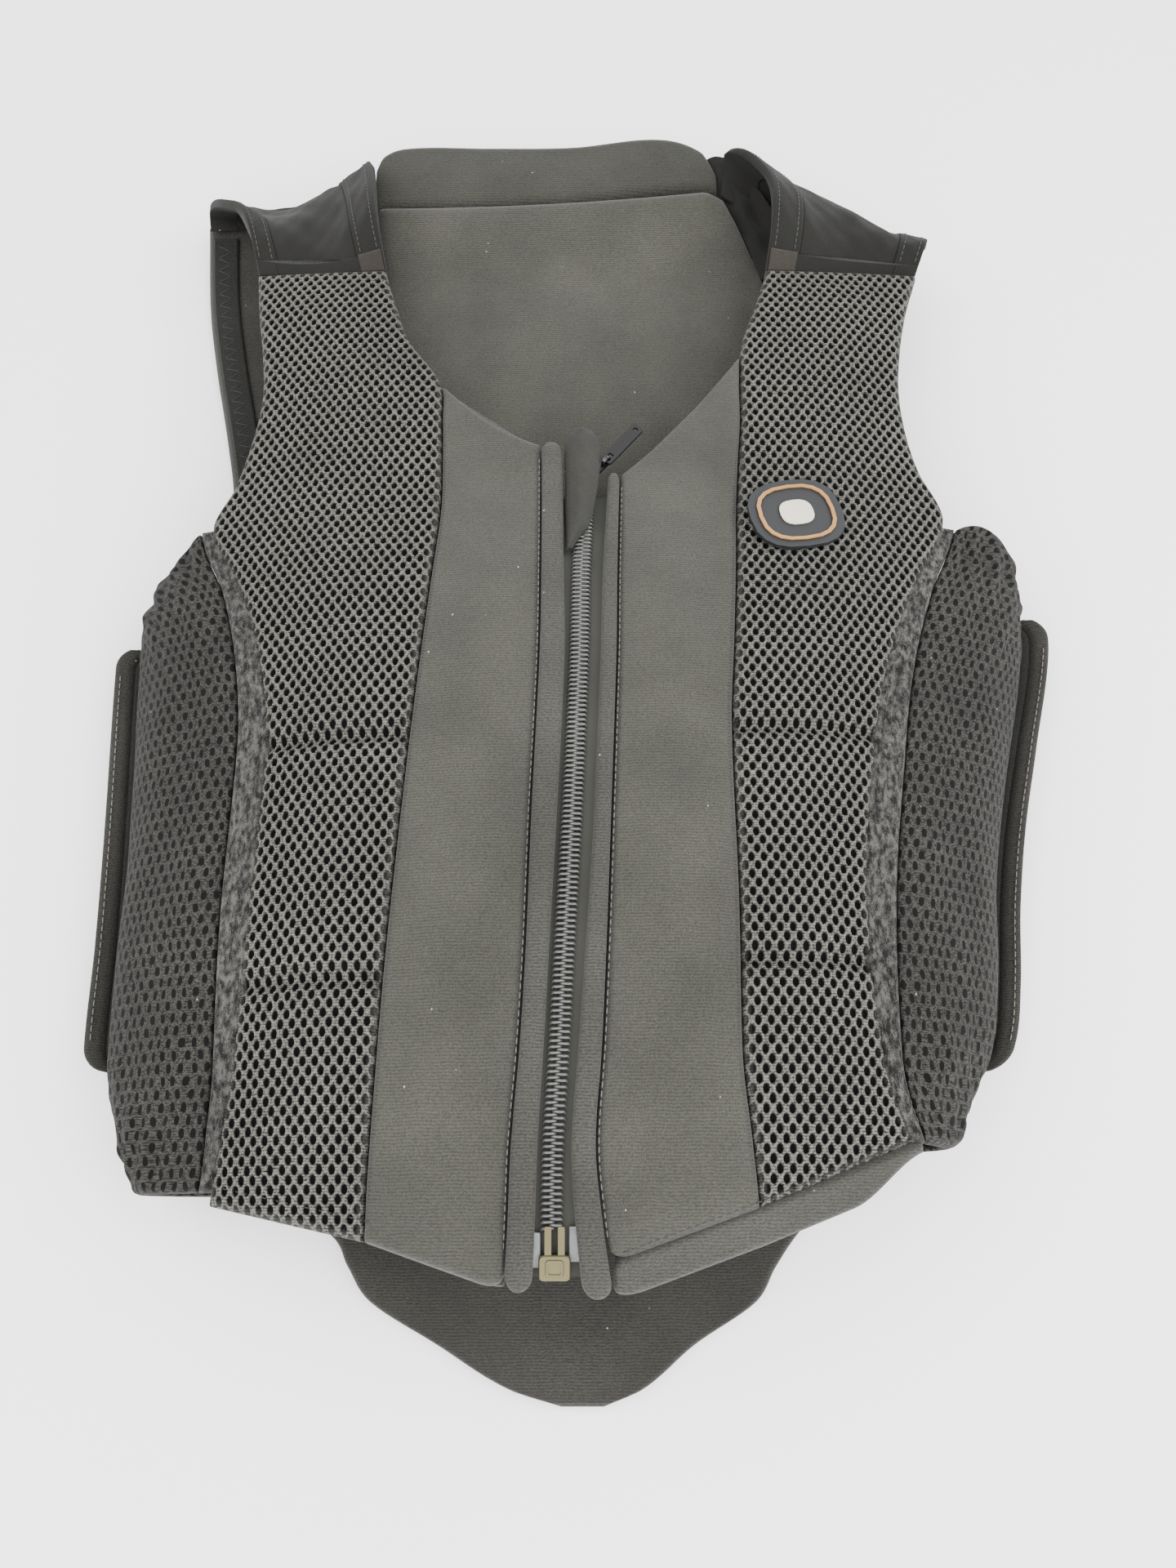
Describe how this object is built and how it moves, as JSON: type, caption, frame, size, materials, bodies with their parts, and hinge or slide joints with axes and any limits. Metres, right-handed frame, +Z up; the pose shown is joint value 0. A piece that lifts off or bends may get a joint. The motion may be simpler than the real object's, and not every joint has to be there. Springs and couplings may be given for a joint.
{
  "type": "equestrian body protector",
  "caption": "Sleeveless padded riding vest with a front zip, mesh and smooth foam panels, perforated sides and cloth shoulder yokes.",
  "frame": {"origin": "on the floor under the middle of the outline, the protector lying on its back", "axes": "+X to the wearer's left, which is the picture's right; +Y from the tail to the collar; +Z up, away from the floor, through the zip"},
  "size_m": [0.4374, 0.6284, 0.104],
  "materials": {
    "smooth_neoprene": "matte stretch cloth over foam with fine cross ribs",
    "spacer_mesh": "knitted spacer mesh with almond holes",
    "crushed_mesh": "crushed, fuzzy mesh in the side seam",
    "perforated_cloth": "perforated stretch cloth, puckered at its ends",
    "ribbed_neoprene": "darker finely ribbed cloth over foam",
    "twill": "fine diagonal twill",
    "binding": "turned and topstitched cloth edges",
    "nylon_coil": "dark glossy nylon coil",
    "black_metal": "gloss black enamelled metal",
    "aged_brass": "dull olive brass",
    "badge_rubber": "matte dark rubber",
    "badge_ochre": "raised ochre rubber",
    "badge_cream": "cream rubber"
  },
  "bodies": {
    "vest": {"back_binding_left": "twill", "back_binding_right": "twill", "back_collar": "smooth_neoprene", "back_pad": "smooth_neoprene", "back_shell": "ribbed_neoprene", "badge_middle": "badge_cream", "badge_patch": "badge_rubber", "badge_ring": "badge_ochre", "front_centre_left": "smooth_neoprene", "front_centre_right": "smooth_neoprene", "front_mesh_left": "spacer_mesh", "front_mesh_right": "spacer_mesh", "hem_facing_left": "binding", "hem_facing_right": "binding", "side_panel_left": "perforated_cloth", "side_panel_right": "perforated_cloth", "side_seam_left": "crushed_mesh", "side_seam_right": "crushed_mesh", "wing_binding_left": "binding", "wing_binding_right": "binding", "wing_left": "smooth_neoprene", "wing_right": "smooth_neoprene", "yoke_arm_band_left": "twill", "yoke_arm_band_right": "twill", "yoke_left": "twill", "yoke_neck_band_left": "twill", "yoke_neck_band_right": "twill", "yoke_right": "twill", "zip_box": "aged_brass", "zip_coil_left": "nylon_coil", "zip_coil_right": "nylon_coil", "zip_hood": "twill", "zip_slider": "black_metal", "zip_tape_left": "twill", "zip_tape_right": "twill", "zip_welt_left": "binding", "zip_welt_right": "binding"},
    "pull": {"zip_pull": "black_metal"}
  },
  "joints": [
    {"name": "pull_hinge", "type": "hinge", "parent": "vest", "child": "pull", "pos_m": [0.00986, 0.075, 0.07726], "axis": [0.766, -0.6428, 0], "range_deg": [0, 95]}
  ]
}
